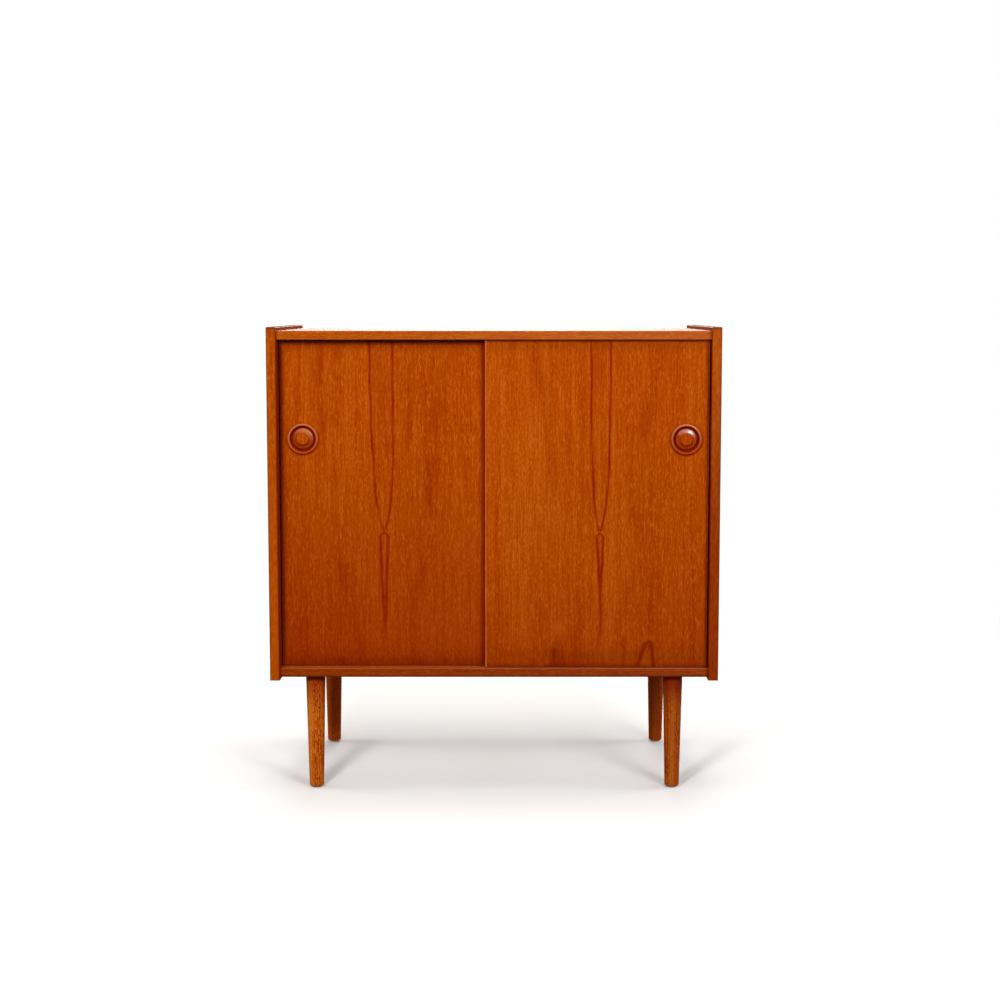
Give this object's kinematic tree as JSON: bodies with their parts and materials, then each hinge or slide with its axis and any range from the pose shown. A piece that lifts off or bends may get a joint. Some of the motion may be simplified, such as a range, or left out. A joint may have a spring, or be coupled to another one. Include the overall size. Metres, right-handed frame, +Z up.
{
  "type": "credenza",
  "caption": "Small teak sideboard: a case with proud sides on turned tapered legs, closed by sliding doors with round turned pulls, with loose shelves inside.",
  "frame": {"origin": "on the floor, under the middle of the case", "axes": "+Z up, +Y from the doors to the back panel, +X to the right of someone facing the doors"},
  "size_m": [0.85, 0.41, 0.886],
  "materials": {
    "teak_door_veneer": "satin oiled veneer, grain upright",
    "teak_case_veneer": "satin oiled veneer",
    "teak_solid": "satin oiled solid wood",
    "teak_turned": "semi-gloss lacquered turning",
    "teak_leg": "satin oiled solid wood",
    "beech": "bare planed wood",
    "plywood": "bare sanded plywood",
    "fibre": "hard brown fibre",
    "nylon": "smooth moulded",
    "zinc_steel": "dull zinc plate",
    "brass": "drawn brass"
  },
  "bodies": {
    "case": {"back_panel": "plywood", "back_panel_screws": "zinc_steel", "bottom_board": "teak_case_veneer", "bottom_board_dowels": "beech", "bottom_board_lipping": "teak_solid", "foot_glide_front_left": "nylon", "foot_glide_front_right": "nylon", "foot_glide_rear_left": "nylon", "foot_glide_rear_right": "nylon", "leg_front_left": "teak_leg", "leg_front_right": "teak_leg", "leg_hanger_bolts": "zinc_steel", "leg_plate_front_left": "zinc_steel", "leg_plate_front_right": "zinc_steel", "leg_plate_rear_left": "zinc_steel", "leg_plate_rear_right": "zinc_steel", "leg_plate_screws": "zinc_steel", "leg_rear_left": "teak_leg", "leg_rear_right": "teak_leg", "shelf_lower": "teak_case_veneer", "shelf_lower_lipping": "teak_solid", "shelf_lower_pins": "brass", "shelf_upper": "teak_case_veneer", "shelf_upper_lipping": "teak_solid", "shelf_upper_pins": "brass", "side_lipping_left": "teak_solid", "side_lipping_right": "teak_solid", "side_panel_left": "teak_case_veneer", "side_panel_right": "teak_case_veneer", "slide_strip_front": "fibre", "slide_strip_rear": "fibre", "top_board": "teak_case_veneer", "top_board_dowels": "beech", "top_board_lipping": "teak_solid"},
    "door_left": {"door_left_bottom_tongue": "beech", "door_left_inner_lipping": "teak_solid", "door_left_outer_lipping": "teak_solid", "door_left_panel": "teak_door_veneer", "door_left_pull": "teak_turned", "door_left_top_tongue": "beech"},
    "door_right": {"door_right_bottom_tongue": "beech", "door_right_inner_lipping": "teak_solid", "door_right_outer_lipping": "teak_solid", "door_right_panel": "teak_door_veneer", "door_right_pull": "teak_turned", "door_right_top_tongue": "beech"}
  },
  "joints": [
    {"name": "door_left_slide", "type": "slide", "parent": "case", "child": "door_left", "axis": [1, 0, 0], "range_m": [0, 0.388]},
    {"name": "door_right_slide", "type": "slide", "parent": "case", "child": "door_right", "axis": [-1, 0, 0], "range_m": [0, 0.388]}
  ]
}
